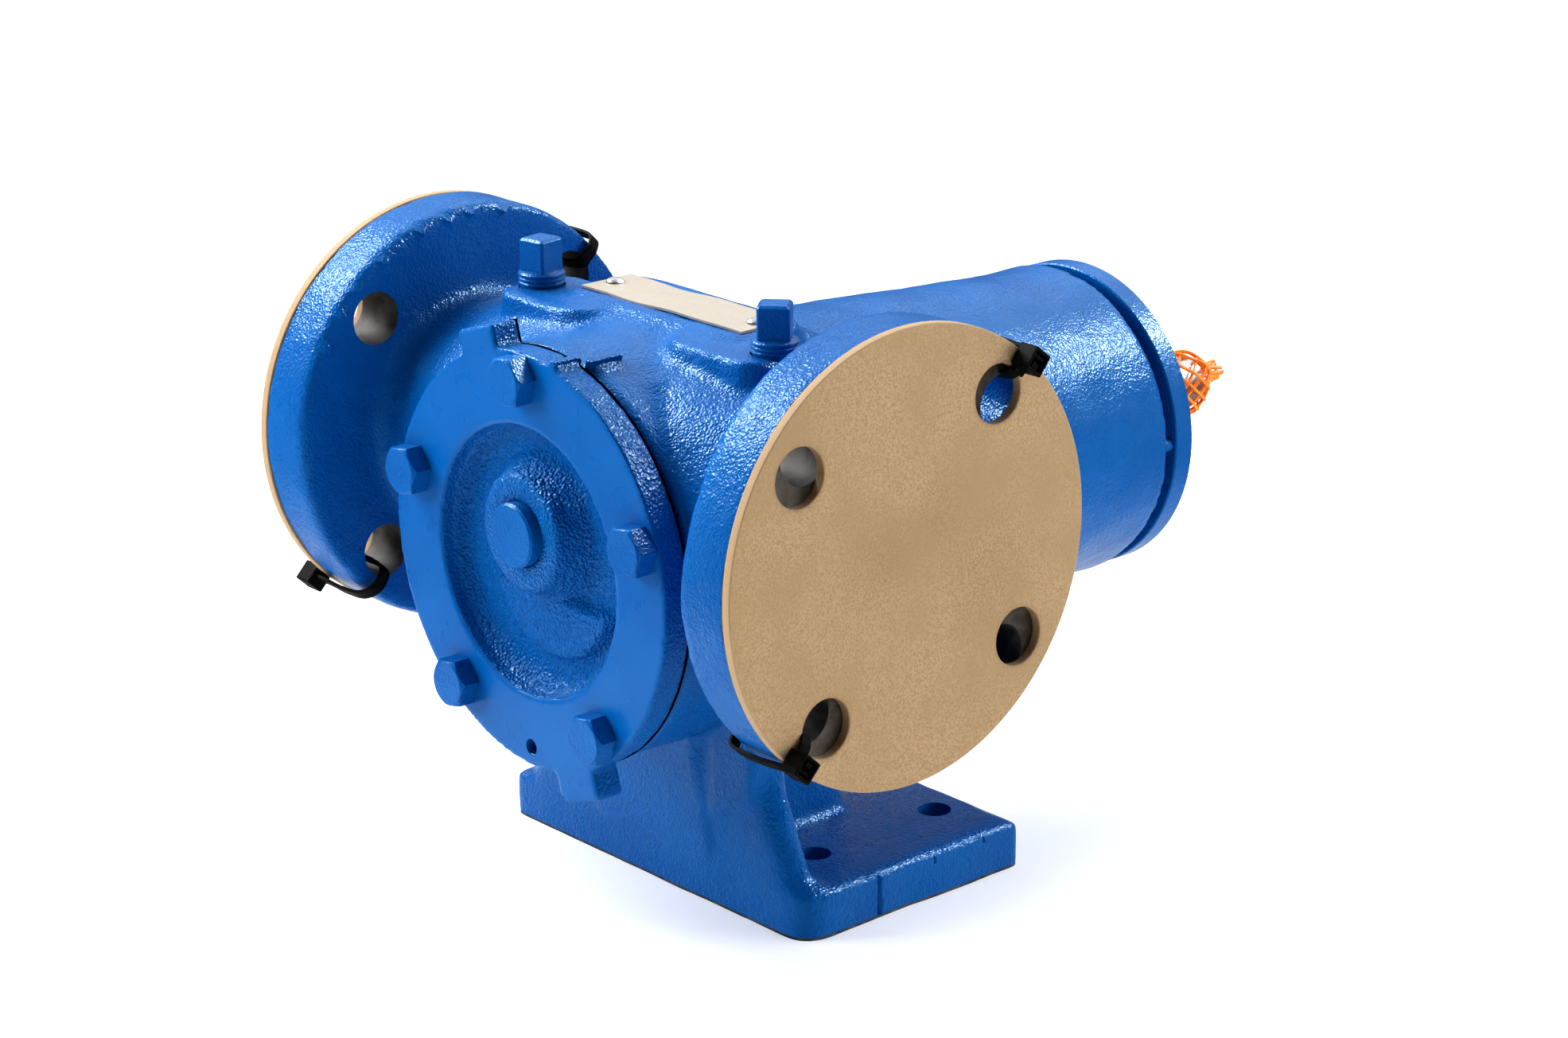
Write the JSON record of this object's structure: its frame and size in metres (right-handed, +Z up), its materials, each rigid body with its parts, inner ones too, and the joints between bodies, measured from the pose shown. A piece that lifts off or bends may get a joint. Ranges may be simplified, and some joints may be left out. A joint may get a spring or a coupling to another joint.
{
  "type": "internal gear pump",
  "caption": "Foot-mounted internal gear pump with side pipe flanges, round bolted head, offset idler pin, long drum with bearing carrier and keyed drive shaft, flanges closed by board covers.",
  "frame": {"origin": "centre of the four foot bolt holes, on the floor under the foot", "axes": "+Z up; +Y along the drive shaft, from the head towards its free end; +X towards the right port, seen from the head's side with the head in front"},
  "size_m": [0.2534, 0.3416, 0.2239],
  "materials": {
    "blue_enamel": "gloss enamel over sand casting",
    "cast_iron_bare": "bare, machined",
    "ground_steel": "ground",
    "carbon": "carbon graphite, lapped",
    "ceramic": "fired ceramic, lapped",
    "black_rubber": "moulded",
    "gasket_board": "pressed fibre",
    "plate_aluminium": "brushed, bare",
    "port_board": "pressed fibre board",
    "black_nylon": "moulded nylon",
    "orange_net": "extruded plastic net"
  },
  "bodies": {
    "pump_housing": {"casing": "blue_enamel", "head": "blue_enamel", "head_gasket": "gasket_board", "head_capscrews": "blue_enamel", "idler_pin": "blue_enamel", "shaft_bushing": "carbon", "seal_gland": "cast_iron_bare", "gland_screws": "ground_steel", "seal_seat": "ceramic", "seal_seat_cup": "black_rubber", "bearing_cup": "ground_steel", "bearing_carrier": "blue_enamel", "inner_lip_seal": "black_rubber", "bearing_end_cap": "blue_enamel", "outer_lip_seal": "black_rubber", "carrier_set_screws": "ground_steel", "left_pipe_plug": "blue_enamel", "right_pipe_plug": "blue_enamel", "name_plate": "plate_aluminium", "plate_screws": "plate_aluminium", "left_port_cover": "port_board", "right_port_cover": "port_board"},
    "rotor_and_shaft": {"rotor": "cast_iron_bare", "shaft": "ground_steel", "seal_face_ring": "carbon", "seal_bellows": "black_rubber", "seal_spring": "ground_steel", "seal_collar": "ground_steel", "front_bearing_cone": "ground_steel", "rear_bearing_cone": "ground_steel", "lock_washer": "ground_steel", "lock_nut": "ground_steel"},
    "idler": {"idler_gear": "ground_steel", "idler_bushing": "carbon"},
    "roller_train": {"front_bearing_rollers": "ground_steel", "front_bearing_cage": "ground_steel", "rear_bearing_rollers": "ground_steel", "rear_bearing_cage": "ground_steel"}
  },
  "joints": [
    {"name": "shaft_spin", "type": "hinge", "parent": "pump_housing", "child": "rotor_and_shaft", "pos_m": [0, 0, 0.1284], "axis": [0, 1, 0], "continuous": true},
    {"name": "idler_spin", "type": "hinge", "parent": "pump_housing", "child": "idler", "pos_m": [0, 0, 0.139], "axis": [0, 1, 0], "continuous": true},
    {"name": "roller_train_spin", "type": "hinge", "parent": "pump_housing", "child": "roller_train", "pos_m": [0, 0, 0.1284], "axis": [0, 1, 0], "continuous": true}
  ],
  "couplings": [
    {"joint": "idler_spin", "follows": "shaft_spin", "ratio": 1.375},
    {"joint": "roller_train_spin", "follows": "shaft_spin", "ratio": 0.401}
  ]
}
